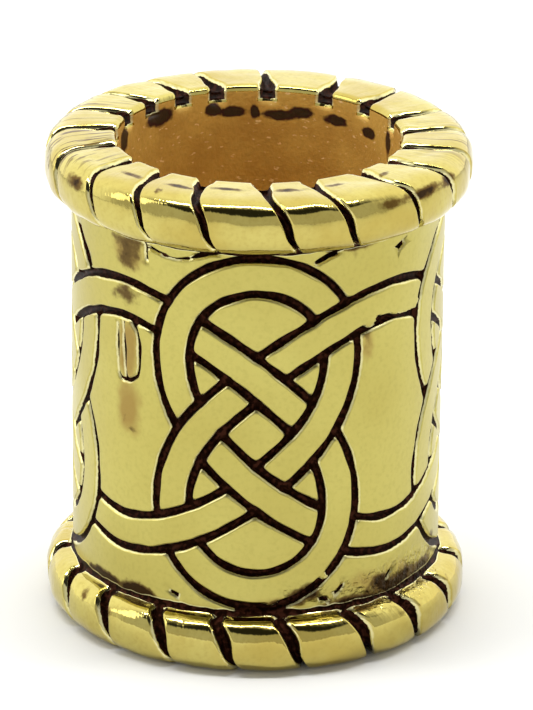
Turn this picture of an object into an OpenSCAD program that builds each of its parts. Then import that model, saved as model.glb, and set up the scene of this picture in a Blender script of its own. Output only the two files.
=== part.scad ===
// Hair cuff bead: one brass casting, a straight tube with a rope rim at each end
// and an interlaced knot cut four times round the wall.
// Millimetres, +Z up the hole, standing on its lower rim with the origin at the foot's centre.

/* [Body] */
// Height over both rims
bead_h = 14.1; // [13.5:0.1:18]
// Diameter of the hole that the hair passes through
bore_d = 8; // [6.5:0.1:8.4]
// Outside diameter of the wall between the rims
wall_d = 10.55; // [10.2:0.05:11.2]
// Radius of the hollow where the wall runs into a rim
cove_r = 0.25; // [0.15:0.05:0.35]

/* [Rope rims] */
// Outside diameter over the rims
rim_d = 12.1; // [11.8:0.1:13]
// Height of each rim
rim_h = 1.6; // [1.4:0.1:2]
// Strands laid round each rim
strand_count = 19; // [13:1:22]
// Turn of a strand across the flat end of the rim, in degrees
lay_end = 1.5; // [0:0.5:4]
// Turn of a strand down the round side of the rim, in degrees
lay_side = 8.5; // [2:0.5:14]
// Depth of the groove between two strands
strand_groove = 0.3; // [0.15:0.05:0.4]
// Roundness of the rim's side, 1 for a true half circle and less for a squarer one
side_round = 0.85; // [0.7:0.05:1]
// Rounding of the mouth's edge
mouth_round = 0.18; // [0.1:0.02:0.24]

/* [Knot] */
// Width of a band, from groove to groove
band_w = 1.04; // [0.9:0.02:1.1]
// Width of the grooves
groove_w = 0.2; // [0.14:0.02:0.24]
// Depth of the grooves
groove_depth = 0.22; // [0.1:0.02:0.35]
// Radius of a band's arch
arch_r = 2.45; // [2.35:0.05:2.5]
// Height of the arch's centre over the knot's centre
arch_rise = 2.25; // [2.2:0.05:2.3]
// Distance from the knot's centre to the place where a band crosses itself
self_cross = 1.63; // [1.55:0.02:1.7]
// Slope of the band at that place, in degrees
cross_slope = 40; // [38:1:42]
// Distance below the knot's centre at which a band passes to the next knot
link_drop = 3.5; // [3.4:0.05:3.6]

/* [Hidden] */

$fn = 96;
KNOTS = 4;

wall_r = wall_d / 2;
bore_r = bore_d / 2;
rim_r = rim_d / 2;
half_side = rim_h / 2;
side_centre = rim_r - half_side;
floor_r = wall_r - groove_depth;
knot_z = bead_h / 2;
border_u = wall_r * PI / KNOTS;

// Where the strand grooves of each rim meet the wall, in degrees round from the front
LOWER_PHASE = 8.4;
UPPER_PHASE = 10.2;

// One strand of a rim across its width: place from groove to groove, depth below the crown
STRAND_PLACE = 0;
STRAND_DEPTH = 1;
STRAND_SHAPE = [
    // place, depth
    [0.00, strand_groove],
    [0.06, 0.07],
    [0.20, 0.00],
    [0.80, 0.00],
    [0.94, 0.07]
];

// Steps round the side of a rim, and how far its inner edge lies inside the wall's metal
SIDE_STEPS = 7;
SINK = 0.05;

// Lengths of the curves' handles, at the link, the crossing and the shoulder
LINK_HANDLE = 1.55;
CROSS_HANDLE_OUT = 1.1;
CROSS_HANDLE_UP = 1.5;
SHOULDER_HANDLE = 1.8;

// A strand runs from 0 at one border to 6 at the other, with the top of its arch at 3:
// a curve to each whole number, in this many straight steps
ARCH_TOP = 3;
STRAND_END = 6;
STEPS_PER_CURVE = 4;
// Where a strand passes over a band: on its way in, on its rising shoulder, on the far
// side of its arch, and where it crosses itself
OVER_LINK = 0.47;
OVER_SHOULDER = 1.55;
OVER_ARCH = 3.77;
OVER_SELF = 5;
// Half length and steps of the stretch that covers the band below
OVER_HALF = 0.25;
OVER_STEPS = 4;
// How far a strand is drawn past its borders, so that neighbouring knots join
BORDER_LAP = 0.02;
// Part of a strand over which its direction is measured
SMALL = 0.01;
// Slits and spurs narrower than twice this are cleared where two grooves meet
TRIM = 0.06;

// Place of the far and near ends of a knot's cut, as parts of the wall's radius
CUT_FROM = 0.62;
CUT_TO = 1.05;

// Point of a cubic curve
function curve(p, t) =
    pow(1 - t, 3) * p[0]
    + 3 * t * pow(1 - t, 2) * p[1]
    + 3 * t * t * (1 - t) * p[2]
    + pow(t, 3) * p[3];

cross_dir = [cos(cross_slope), -sin(cross_slope)];
cross_point = [0, -self_cross];
// From the border to the place where the band crosses itself
LINK = [
    [border_u, -link_drop],
    [border_u - LINK_HANDLE, -link_drop],
    cross_point + CROSS_HANDLE_OUT * cross_dir,
    cross_point
];
// From there up to the side of the arch
SHOULDER = [
    cross_point,
    cross_point - CROSS_HANDLE_UP * cross_dir,
    [-arch_r, arch_rise - SHOULDER_HANDLE],
    [-arch_r, arch_rise]
];
function arch(t) = [-arch_r * cos(90 * t), arch_rise + arch_r * sin(90 * t)];

// Half of a strand, from the right border to the top of its arch: place along the wall, height
function half_strand(s) =
    s < 1 ? curve(LINK, s)
    : s < 2 ? curve(SHOULDER, s - 1)
    : arch(s - 2);
function flip(p) = [-p[0], p[1]];
function strand(s) = s < 3 ? flip(half_strand(s)) : half_strand(STRAND_END - s);

// Unit vector across the strand
function across(s) =
    let (d = strand(s + SMALL) - strand(s - SMALL))
    [-d[1], d[0]] / norm(d);

// A place on the wall, as it is seen from straight in front
function seen(p) = [wall_r * sin(p[0] / wall_r * 180 / PI), p[1]];

function edge_line(from, to, steps, offset) = [
    for (i = [0:steps])
        let (s = from + (to - from) * i / steps)
        seen(strand(s) + offset * across(s))
];
function reversed(list) = [for (i = [len(list) - 1:-1:0]) list[i]];

// A strip that follows the strand, between two distances from its middle
module strip(from, to, steps, low, high) {
    polygon(concat(
        edge_line(from, to, steps, low),
        reversed(edge_line(from, to, steps, high))
    ));
}

// The two grooves beside half a strand
module half_grooves(from, to) {
    inner = (band_w - groove_w) / 2;
    outer = (band_w + groove_w) / 2;
    steps = ARCH_TOP * STEPS_PER_CURVE;
    strip(from, to, steps, inner, outer);
    strip(from, to, steps, -outer, -inner);
}

// The stretch of a strand that lies over another band, out to the middle of its grooves
module over(middle) {
    strip(middle - OVER_HALF, middle + OVER_HALF, OVER_STEPS, -band_w / 2, band_w / 2);
}

// One strand, broken where it dips under itself or under the other strand, which is the
// same curve turned half round
module woven_strand() {
    difference() {
        half_grooves(-BORDER_LAP, ARCH_TOP);
        over(OVER_SELF);
        rotate(180) over(OVER_LINK);
    }
    difference() {
        half_grooves(ARCH_TOP, STRAND_END + BORDER_LAP);
        rotate(180) over(OVER_SHOULDER);
        rotate(180) over(OVER_ARCH);
    }
}

// All grooves of one knot, seen from straight in front
module knot_lines() {
    offset(delta = TRIM) offset(delta = -2 * TRIM) offset(delta = TRIM) {
        woven_strand();
        rotate(180) woven_strand();
    }
}

// The metal taken out of the wall for one knot, down to the floor of its grooves
module knot_cut() {
    difference() {
        translate([0, -wall_r * CUT_FROM, knot_z])
            rotate([90, 0, 0])
                linear_extrude(height = wall_r * (CUT_TO - CUT_FROM))
                    knot_lines();
        cylinder(h = bead_h, r = floor_r);
    }
}

// Outline of a rim's section, radius and height, where its surface lies at the given depth
function squared(value) = sign(value) * pow(abs(value), side_round);
function end_line(depth) = [
    [bore_r - mouth_round, depth + 2 * mouth_round],
    [bore_r + 0.3 * mouth_round, depth + 0.3 * mouth_round],
    [bore_r + mouth_round, depth],
    [side_centre, depth]
];
function side_line(depth) = [
    for (i = [1:SIDE_STEPS - 1])
        let (a = 180 * i / SIDE_STEPS)
        [
            side_centre + (half_side - depth) * squared(sin(a)),
            half_side - (half_side - depth) * squared(cos(a))
        ]
];
function foot_line(depth) = [
    [wall_r + 0.3 * cove_r * (1 - depth / strand_groove / 2), rim_h + 0.3 * cove_r],
    [wall_r - SINK, rim_h + cove_r]
];
BACK_LINE = [[bore_r - mouth_round, rim_h + cove_r]];
function outline(depth) = concat(end_line(depth), side_line(depth), foot_line(depth), BACK_LINE);

// Turn of the strands at each point of the outline
TURNS = concat(
    [0, 0, 0, lay_end],
    [for (i = [1:SIDE_STEPS]) lay_end + lay_side * i / SIDE_STEPS],
    [lay_end + lay_side, lay_end + lay_side]
);

// One rope rim with its flat end down at height 0, its grooves meeting the wall at foot_angle
module rope_rim(foot_angle) {
    pitch = 360 / strand_count;
    rows = len(TURNS);
    columns = strand_count * len(STRAND_SHAPE);
    points = [
        for (k = [0:strand_count - 1], shape = STRAND_SHAPE)
            let (
                line = outline(shape[STRAND_DEPTH]),
                start = foot_angle + (k + shape[STRAND_PLACE]) * pitch + lay_end + lay_side
            )
            for (j = [0:rows - 1])
                let (a = start - TURNS[j])
                [line[j][0] * sin(a), -line[j][0] * cos(a), line[j][1]]
    ];
    faces = [
        for (i = [0:columns - 1], j = [0:rows - 1])
            let (
                here = i * rows,
                next = (i + 1) % columns * rows,
                above = (j + 1) % rows
            )
            for (face = [
                [here + j, next + above, next + j],
                [here + j, here + above, next + above]
            ]) face
    ];
    polyhedron(points, faces);
}

module lower_rim() {
    rope_rim(LOWER_PHASE);
}

module upper_rim() {
    translate([0, 0, bead_h])
        rotate([180, 0, 0])
            rope_rim(180 - UPPER_PHASE);
}

// The plain wall between the rims
module wall() {
    translate([0, 0, rim_h]) cylinder(h = bead_h - 2 * rim_h, r = wall_r);
}

module bore() {
    translate([0, 0, -rim_h]) cylinder(h = bead_h + 2 * rim_h, r = bore_r);
}

module bead() {
    color([0.82, 0.72, 0.36]) {
        difference() {
            union() {
                wall();
                lower_rim();
                upper_rim();
            }
            bore();
            for (i = [0:KNOTS - 1]) {
                rotate([0, 0, i * 360 / KNOTS]) knot_cut();
            }
        }
    }
}

bead();
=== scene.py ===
"""Finished look of a cast brass hair cuff bead with rope rims and an interlaced knot.

A piece is shaped in millimetres, standing on its lower rim with +Z up its hole, and its mesh is
scaled to metres when it is done. Azimuths are degrees round from the front, positive to the right.
"""

import logging
import math
from dataclasses import dataclass, field
from enum import Enum
from typing import NamedTuple

import bmesh
import bpy
import numpy as np
from mathutils import Matrix, Vector, noise
from mathutils.geometry import delaunay_2d_cdt

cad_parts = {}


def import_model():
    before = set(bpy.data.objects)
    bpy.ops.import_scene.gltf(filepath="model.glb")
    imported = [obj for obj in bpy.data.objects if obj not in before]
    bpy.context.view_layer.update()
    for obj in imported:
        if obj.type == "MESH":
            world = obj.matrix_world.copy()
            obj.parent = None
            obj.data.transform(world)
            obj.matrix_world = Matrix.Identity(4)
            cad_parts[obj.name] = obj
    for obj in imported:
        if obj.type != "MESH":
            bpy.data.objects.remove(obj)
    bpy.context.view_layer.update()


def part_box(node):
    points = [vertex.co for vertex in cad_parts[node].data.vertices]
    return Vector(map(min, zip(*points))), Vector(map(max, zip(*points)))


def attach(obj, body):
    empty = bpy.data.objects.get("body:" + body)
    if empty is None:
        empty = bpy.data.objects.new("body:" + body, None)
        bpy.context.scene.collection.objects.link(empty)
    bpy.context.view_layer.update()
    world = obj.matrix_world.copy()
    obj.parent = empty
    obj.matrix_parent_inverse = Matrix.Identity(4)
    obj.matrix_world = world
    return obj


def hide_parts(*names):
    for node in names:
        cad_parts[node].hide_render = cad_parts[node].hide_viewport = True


LOG = logging.getLogger("cuff_bead")
# Metres in a millimetre
METRES = 0.001
# Distance in millimetres under which the casting's points are one
MERGE = 1e-4

Colour = tuple[float, float, float]
Place = tuple[float, float, float]
Pair = tuple[float, float]
Limits = tuple[float, float]
Socket = bpy.types.NodeSocket
# What goes into a node's input: a socket, a number or a colour
Source = object


class Skin(Enum):
    """Surfaces of the casting that have a finish of their own, by material index."""

    WALL = 0
    ROPE = 1
    BORE = 2


class RimEnd(Enum):
    """The two ends of the bead, by the direction in which the end face looks."""

    LOWER = -1
    UPPER = 1


# Half width of the dark crease at the foot of each rim
CREASES = {RimEnd.LOWER: 0.085, RimEnd.UPPER: 0.05}
# Width of each rim's strand grooves: usual, more at the mouth, more towards the foot
GROOVE_WIDTHS = {RimEnd.LOWER: (0.85, 0.8, 0.75), RimEnd.UPPER: (0.95, 0.8, -0.25)}


class Mask(Enum):
    """Per-vertex attributes that the finishes read."""

    GROOVE = "groove_nearness"
    # Dark patches: tarnished spots on the wall, painted shade on the ropes and painted shadow round
    # the bore's mouth
    DARK_PATCHES = "tarnish"
    WARM = "warm_tint"
    ROUGH = "rough_cast"
    ACROSS = "strand_across"
    WEAR = "wear_lines"


def smooth_step(low: float, high: float, value: np.ndarray) -> np.ndarray:
    """Smooth ramp from 0 at low to 1 at high.

    Args:
        low: Value at which the ramp starts.
        high: Value at which the ramp ends; below low the ramp falls.
        value: Where to read the ramp.

    Returns:
        The ramp's heights.
    """
    t = np.clip((np.asarray(value, float) - low) / (high - low), 0, 1)
    return t * t * (3 - 2 * t)


def ripple(x: float, y: float, z: float, size: float, seed: float = 0.0) -> float:
    """Smooth unevenness from -1 to 1 with features of the given size."""
    return wander(x / size, y / size, z / size + seed)


def wander(*place: float) -> float:
    """Smooth random value from -1 to 1 at a place in space."""
    return noise.noise(Vector(place))


@dataclass(frozen=True)
class BeadSizes:
    """Main sizes of the bead in millimetres."""

    height: float
    rim_radius: float
    bore_radius: float = 4.0
    wall_radius: float = 5.275
    rim_height: float = 1.6

    @classmethod
    def from_frame(cls) -> "BeadSizes":
        """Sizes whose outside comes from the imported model's box."""
        low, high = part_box("bead")
        return cls(
            height=(high.z - low.z) / METRES,
            rim_radius=(high.x - low.x) / 2 / METRES,
        )

    @property
    def turn(self) -> float:
        """Length of the wall once round."""
        return math.tau * self.wall_radius

    @property
    def middle(self) -> float:
        """Height of the knots' centres."""
        return self.height / 2


@dataclass(frozen=True)
class GrooveCut:
    """Section of a cut groove: flat floor, steep sides and narrow shoulders."""

    half_width: float
    depth: float
    levels: tuple[float, ...] = (1.0, 0.6, 1.45, 0.0, 1.75)
    sides: Limits = (0.45, 1.45)

    def drop(self, reach: np.ndarray) -> np.ndarray:
        """Part of the full depth at a distance given in half widths."""
        return 1 - smooth_step(*self.sides, reach)

    @staticmethod
    def nearness(reach: np.ndarray) -> np.ndarray:
        """1 on the groove's line, a half at its edge and 0 at twice that distance."""
        return np.clip(1 - np.asarray(reach) / 2, 0, 1)


@dataclass(frozen=True)
class KnotPlan:
    """Route of a knot's bands on the unrolled wall, in millimetres from the knot's centre."""

    border: float
    band: float = 1.04
    arch_radius: float = 2.45
    arch_rise: float = 2.25
    self_cross: float = 1.63
    cross_slope: float = math.radians(40)
    link_drop: float = 3.5
    link_handle: float = 1.55
    cross_handle_out: float = 1.1
    cross_handle_up: float = 1.5
    shoulder_handle: float = 1.8
    over_half: float = 0.25
    over_steps: int = 16
    over_lap: float = 0.02
    over_self: float = 5.0
    over_link: float = 0.47
    over_shoulder: float = 1.55
    over_arch: float = 3.77
    strand_end: float = 6.0

    @staticmethod
    def curve(p: tuple, t: np.ndarray) -> np.ndarray:
        """Points of a cubic curve at t from 0 to 1."""
        t = t[:, None]
        a, b, c, d = (np.array(q, float) for q in p)
        return (1 - t) ** 3 * a + 3 * t * (1 - t) ** 2 * b + 3 * t * t * (1 - t) * c + t**3 * d

    def half_strand(self, s: np.ndarray) -> np.ndarray:
        """Half a strand, from the right border at 0 to the top of its arch at 3.

        Args:
            s: Places along the half strand.

        Returns:
            One row of place along the wall and height for each.
        """
        lean = np.array([math.cos(self.cross_slope), -math.sin(self.cross_slope)])
        cross = np.array([0.0, -self.self_cross])
        link = (
            (self.border, -self.link_drop),
            (self.border - self.link_handle, -self.link_drop),
            cross + self.cross_handle_out * lean,
            cross,
        )
        shoulder = (
            cross,
            cross - self.cross_handle_up * lean,
            (-self.arch_radius, self.arch_rise - self.shoulder_handle),
            (-self.arch_radius, self.arch_rise),
        )
        turn = (s - 2) * math.pi / 2
        arch = np.stack(
            [-self.arch_radius * np.cos(turn), self.arch_rise + self.arch_radius * np.sin(turn)], 1
        )
        part = s[:, None]
        rest = np.where(part < 2, self.curve(shoulder, np.clip(s - 1, 0, 1)), arch)
        return np.where(part < 1, self.curve(link, np.clip(s, 0, 1)), rest)

    def strand(self, s: np.ndarray) -> np.ndarray:
        """A whole strand, from the left border at 0 to the right border at 6.

        Args:
            s: Places along the strand.

        Returns:
            One row of place along the wall and height for each.
        """
        near_end = s > self.strand_end / 2
        half = self.half_strand(np.where(near_end, self.strand_end - s, s))
        half[:, 0] *= np.where(near_end, 1, -1)
        return half

    def across(self, s: np.ndarray) -> np.ndarray:
        """Directions across the strand.

        Args:
            s: Places along the strand.

        Returns:
            One unit vector for each.
        """
        small = 0.01
        inside = np.clip(s, small, self.strand_end - small)
        along = self.strand(inside + small) - self.strand(inside - small)
        along /= np.linalg.norm(along, axis=1)[:, None]
        return np.stack([-along[:, 1], along[:, 0]], 1)

    def covers(self, middle: float, turned: bool, points: np.ndarray) -> np.ndarray:
        """Which points lie under the stretch of a band around the given place.

        Args:
            middle: Place along the strand of the stretch's middle.
            turned: Whether the stretch is on the strand that is turned half round.
            points: Places on the wall.

        Returns:
            True for each point under the stretch.
        """
        s = np.linspace(middle - self.over_half, middle + self.over_half, self.over_steps + 1)
        line = self.strand(s) * (-1 if turned else 1)
        hidden = np.zeros(len(points), bool)
        for start, end in zip(line[:-1], line[1:]):
            step = end - start
            length = np.linalg.norm(step)
            along = (points - start) @ step / length**2
            aside = np.abs((points - start) @ np.array([-step[1], step[0]]) / length)
            beside = (along >= -self.over_lap) & (along <= 1 + self.over_lap)
            hidden |= beside & (aside < self.band / 2)
        return hidden

    def groove(self, side: int, spacing: float) -> tuple[np.ndarray, np.ndarray, np.ndarray]:
        """Centre line of one groove of the strand, with what hides it.

        Args:
            side: 1 or -1, the side of the band on which the groove runs.
            spacing: Step along the strand, in its own parameter.

        Returns:
            Points, unit vectors across them, and True for each point that shows.
        """
        s = np.arange(0, self.strand_end, spacing)
        across = self.across(s)
        points = self.strand(s) + side * self.band / 2 * across
        first = s < self.strand_end / 2
        under_first = self.covers(self.over_self, False, points) | self.covers(
            self.over_link, True, points
        )
        under_last = self.covers(self.over_shoulder, True, points) | self.covers(
            self.over_arch, True, points
        )
        return points, across, ~np.where(first, under_first, under_last)


@dataclass
class GrooveField:
    """Distance to the nearest groove line over the unrolled wall, on a fine grid."""

    turn: float
    low: float
    high: float
    step: float = 0.02
    reach: float = 0.5
    margin: float = 1.2
    blend: float = 0.09
    last_cell: float = 1.001
    grid: np.ndarray = field(init=False)

    def __post_init__(self) -> None:
        """Makes an empty grid."""
        columns = int((self.turn + 2 * self.margin) / self.step) + 2
        rows = int((self.high - self.low + 2 * self.margin) / self.step) + 2
        self.grid = np.full((columns, rows), 2 * self.reach)

    @property
    def corner(self) -> np.ndarray:
        """Place of the grid's first point."""
        return np.array([-self.turn / 2 - self.margin, self.low - self.margin])

    def add_line(self, points: np.ndarray, inset: float = 0.0) -> None:
        """Joins one groove line to the field, with a small fillet where it meets others.

        Args:
            points: The line's points, one row each.
            inset: How much narrower than a full groove the line is, on each side.
        """
        for shift in (-self.turn, 0, self.turn):
            self.add_shifted(points + np.array([shift, 0]), inset)

    def add_shifted(self, points: np.ndarray, inset: float) -> None:
        """Joins one copy of a line, if it lies on the grid.

        Args:
            points: The copy's points, one row each.
            inset: How much narrower than a full groove the line is, on each side.
        """
        first = np.floor((points.min(0) - self.reach - self.corner) / self.step).astype(int)
        last = np.ceil((points.max(0) + self.reach - self.corner) / self.step).astype(int)
        first = np.maximum(first, 0)
        last = np.minimum(last, self.grid.shape)
        if (last <= first).any():
            return
        near = np.full(last - first, 2 * self.reach)
        for start, end in zip(points[:-1], points[1:]):
            self.add_segment(near, first, start, end)
        near += inset
        old = self.grid[first[0] : last[0], first[1] : last[1]]
        mix = np.clip(self.blend - np.abs(old - near), 0, None) / self.blend
        joined = np.minimum(old, near) - mix * mix * self.blend / 4
        self.grid[first[0] : last[0], first[1] : last[1]] = joined

    def add_segment(
        self, near: np.ndarray, first: np.ndarray, start: np.ndarray, end: np.ndarray
    ) -> None:
        """Lowers the distances round one straight segment.

        Args:
            near: Distances of the line's own window.
            first: Place of the window's first cell on the grid.
            start: First end of the segment.
            end: Other end of the segment.
        """
        origin = self.corner + first * self.step
        low = np.floor((np.minimum(start, end) - self.reach - origin) / self.step).astype(int)
        high = np.ceil((np.maximum(start, end) + self.reach - origin) / self.step).astype(int)
        low = np.maximum(low, 0)
        high = np.minimum(high, near.shape)
        if (high <= low).any():
            return
        x = origin[0] + np.arange(low[0], high[0])[:, None] * self.step - start[0]
        y = origin[1] + np.arange(low[1], high[1])[None, :] * self.step - start[1]
        dx, dy = end - start
        t = np.clip((x * dx + y * dy) / (dx * dx + dy * dy), 0, 1)
        distance = np.hypot(x - t * dx, y - t * dy)
        window = near[low[0] : high[0], low[1] : high[1]]
        np.minimum(window, distance, out=window)

    def read(self, places: np.ndarray) -> np.ndarray:
        """Distances to the nearest groove line, found between the grid's points.

        Args:
            places: Places on the unrolled wall, which may lie past its ends.

        Returns:
            One distance for each place.
        """
        half = self.turn / 2
        round_wall = np.stack([(places[:, 0] + half) % self.turn - half, places[:, 1]], 1)
        cell = (round_wall - self.corner) / self.step
        cell = np.clip(cell, 0, np.array(self.grid.shape) - self.last_cell)
        i = cell.astype(int)
        f = cell - i
        g = self.grid
        low = g[i[:, 0], i[:, 1]] * (1 - f[:, 0]) + g[i[:, 0] + 1, i[:, 1]] * f[:, 0]
        high = g[i[:, 0], i[:, 1] + 1] * (1 - f[:, 0]) + g[i[:, 0] + 1, i[:, 1] + 1] * f[:, 0]
        return low * (1 - f[:, 1]) + high * f[:, 1]


@dataclass(frozen=True)
class Stain:
    """A patch on the casting: its middle, its half sizes and how strong it is."""

    azimuth: float
    height: float
    half_turn: float
    half_height: float
    strength: float = 1.0
    radius: float = 5.3
    half_radius: float = 0.7

    def at(self, places: np.ndarray) -> np.ndarray:
        """Strength of the patch, half at its edge and nothing at twice its size.

        Args:
            places: Rows of azimuth, radius and height.

        Returns:
            A value from 0 to the patch's strength for each place.
        """
        turn = (places[:, 0] - self.azimuth + 180) % 360 - 180
        out = (places[:, 1] - self.radius) / self.half_radius
        rise = (places[:, 2] - self.height) / self.half_height
        reach = np.sqrt((turn / self.half_turn) ** 2 + out**2 + rise**2)
        return self.strength * np.clip(1 - reach / 2, 0, 1)


@dataclass(frozen=True)
class Scratch:
    """A thin line cut or worn into the wall: corners in degrees and height, and half width."""

    corners: tuple[tuple[float, float], ...]
    half_width: float = 0.05
    spacing: float = 0.016

    def points(self, radius: float) -> np.ndarray:
        """Evenly spaced points of the line on the unrolled wall.

        Args:
            radius: Radius of the wall.

        Returns:
            One row of place along the wall and height for each point.
        """
        corners = np.array([(math.radians(turn) * radius, height) for turn, height in self.corners])
        along = np.append(0, np.cumsum(np.linalg.norm(np.diff(corners, axis=0), axis=1)))
        steps = np.linspace(0, along[-1], max(3, int(along[-1] / self.spacing)))
        return np.stack([np.interp(steps, along, corners[:, k]) for k in (0, 1)], 1)


# Scratches, cracks and nicks of the wall
SCRATCHES = (
    Scratch(((-44.9, 9.85), (-44.4, 9.1), (-44.1, 8.5), (-43.7, 8.2)), 0.026),
    Scratch(((-47.4, 9.7), (-47.5, 9.0), (-47.1, 8.4), (-46.8, 8.2)), 0.022),
    Scratch(
        ((-40.9, 9.85), (-39.2, 9.66), (-38.4, 9.3), (-38.4, 8.65), (-39.1, 8.33), (-41.9, 8.13),
         (-45.3, 8.09), (-46.8, 8.2)),
        0.038,
    ),
    Scratch(((-36.1, 12.38), (-35.6, 11.86)), 0.018),
    Scratch(((-34.1, 12.24), (-31.6, 12.17), (-28.5, 12.13)), 0.034),
    Scratch(((-29.6, 12.1), (-25.4, 12.07), (-20.6, 12.15)), 0.028),
    Scratch(((-18.4, 12.24), (-14.9, 12.36), (-12.0, 12.38)), 0.04),
    Scratch(((-70.4, 11.93), (-66.8, 11.66), (-63.7, 11.34)), 0.06),
    Scratch(((-62.6, 11.2), (-62.2, 11.1)), 0.06),
    Scratch(((49.9, 12.09), (47.5, 12.0)), 0.08),
    Scratch(((18.5, 12.1), (22.0, 12.25), (25.0, 12.33)), 0.06),
    Scratch(((39.3, 10.1), (39.9, 10.0)), 0.08),
    Scratch(((47.9, 10.1), (53.8, 9.96)), 0.08),
    Scratch(((27.6, 2.26), (26.4, 2.12)), 0.07),
    Scratch(((45.2, 2.1), (45.4, 2.2), (47.2, 2.3)), 0.05),
    Scratch(((21.4, 1.95), (22.6, 1.92)), 0.07),
    Scratch(((-26.5, 2.04), (-25.0, 2.0)), 0.035),
    Scratch(((118.0, 6.6), (123.0, 7.1), (126.0, 7.0)), 0.04),
    Scratch(((-110.0, 11.9), (-118.0, 12.1), (-124.0, 12.2)), 0.05),
    Scratch(((160.0, 2.1), (168.0, 1.95), (173.0, 2.0)), 0.06),
)
# Dark stains of the wall
DARK_PATCHES = (
    Stain(-42.7, 11.9, 5.8, 0.48, 1.0),
    Stain(-41.5, 12.3, 8.5, 0.1),
    Stain(-43.0, 10.66, 6.0, 0.3, 1.0),
    Stain(-44.2, 6.95, 1.6, 0.12, 0.8),
    Stain(-40.9, 6.7, 1.8, 0.12, 0.85),
    Stain(29.5, 12.4, 7.5, 0.1, 1.3),
    Stain(30.0, 12.17, 3.0, 0.11, 1.2),
    Stain(38.5, 11.02, 3.6, 0.1, 0.8),
    Stain(35.4, 9.55, 1.6, 0.35, 0.75),
    Stain(15.0, 2.18, 4.6, 0.17, 1.7),
    Stain(17.6, 2.38, 2.4, 0.13, 1.35),
    Stain(9.5, 1.96, 5.5, 0.1, 1.6),
    Stain(41.5, 2.12, 3.8, 0.18, 1.6),
    Stain(48.8, 1.86, 7.0, 0.22, 1.7),
    Stain(54.0, 2.02, 5.5, 0.22, 1.2),
    Stain(63.0, 1.84, 6.5, 0.24, 1.6),
    Stain(72.0, 2.3, 3.0, 0.4, 0.9),
    Stain(31.0, 1.7, 10.0, 0.15, 1.7),
    Stain(-39.6, 1.8, 5.5, 0.17, 2.4),
    Stain(-54.0, 1.86, 8.0, 0.12, 2.0),
    Stain(126.0, 11.9, 12.0, 0.3, 0.9),
    Stain(152.0, 2.1, 14.0, 0.22),
    Stain(-118.0, 2.0, 12.0, 0.2),
    Stain(-152.0, 12.1, 11.0, 0.22),
    Stain(-96.0, 9.2, 4.0, 0.5, 0.8),
)
# Dark patches of the ropes: painted shade and painted dark reflections on the strands' sides, dark
# dashes on the end faces by the mouth, and patches at the back
ROPE_PAINTED_SHADE_AND_SPOTS = (
    Stain(-43.6, 14.1, 4.2, 0.2, 1.3, 5.0, 0.12),
    Stain(-25.2, 14.1, 4.6, 0.2, 1.3, 4.98, 0.11),
    Stain(-9.7, 14.1, 5.4, 0.2, 1.3, 4.75, 0.11),
    Stain(9.4, 14.1, 6.0, 0.2, 1.1, 4.8, 0.14),
    Stain(26.0, 14.1, 3.6, 0.2, 1.2, 4.75, 0.1),
    Stain(44.0, 14.1, 4.0, 0.2, 1.2, 4.8, 0.1),
    Stain(-30.0, 14.1, 1.2, 0.2, 1.1, 5.5, 0.3),
    # Painted shade on the upper rope's shoulders
    Stain(38.0, 13.72, 4.0, 0.13, 1.3, 5.93, 0.2),
    Stain(50.5, 13.74, 5.5, 0.14, 1.5, 5.93, 0.2),
    Stain(62.0, 13.74, 3.4, 0.14, 1.5, 5.93, 0.2),
    Stain(-58.0, 13.7, 4.0, 0.2, 1.2, 5.95, 0.14),
    Stain(-78.0, 13.6, 3.0, 0.2, 0.9, 5.95, 0.12),
    # Painted dark reflections on the lower rope
    Stain(-46.0, 1.2, 4.5, 0.2, 0.9, 5.95, 0.2),
    Stain(-55.0, 1.3, 1.6, 0.3, 0.9, 5.9, 0.3),
    Stain(48.0, 1.25, 4.5, 0.14, 1.0, 5.9, 0.15),
    Stain(66.0, 1.3, 4.0, 0.2, 0.9, 5.9, 0.2),
    Stain(140.0, 13.9, 8.0, 0.2, 0.9, 5.8, 0.2),
    Stain(-140.0, 1.3, 7.0, 0.2, 0.9, 5.9, 0.2),
)
# Painted shadow round the mouth of the bore, under the rim's inner edge: azimuth, height, half sizes
# and strength
BORE_PAINTED_SHADOW = tuple(
    Stain(*patch, radius=4.0, half_radius=0.4)
    for patch in (
        (-160.5, 13.42, 2.6, 0.17, 1.8),
        (-169.0, 13.32, 4.2, 0.14, 1.8),
        (-178.3, 13.3, 1.5, 0.16, 1.8),
        (171.3, 13.22, 6.5, 0.12, 1.8),
        (162.5, 13.36, 4.0, 0.13, 1.8),
        (146.9, 13.28, 4.2, 0.13, 1.8),
        (128.2, 13.2, 3.6, 0.13, 1.8),
        (113.4, 13.2, 2.0, 0.3, 1.6),
        (-134.9, 13.5, 6.0, 0.2, 1.8),
        (-107.3, 13.4, 3.5, 0.3, 1.8),
        (-60.0, 13.3, 8.0, 0.16, 1.8),
        (40.0, 13.3, 10.0, 0.14, 1.8),
    )
)
# Patches where the brass is browner
WARM_TINTS = (
    Stain(-43.0, 9.1, 4.6, 0.95),
    Stain(-42.5, 7.3, 5.4, 0.9, 1.0),
    Stain(-42.5, 11.9, 8.0, 0.6, 0.9),
    Stain(36.0, 9.5, 4.0, 0.9, 0.7),
    Stain(40.0, 2.2, 22.0, 0.5, 0.7),
    Stain(10.0, 2.0, 14.0, 0.3, 0.7),
    Stain(-120.0, 5.0, 9.0, 1.4, 0.7),
    Stain(135.0, 9.0, 8.0, 1.2, 0.8),
)
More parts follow.
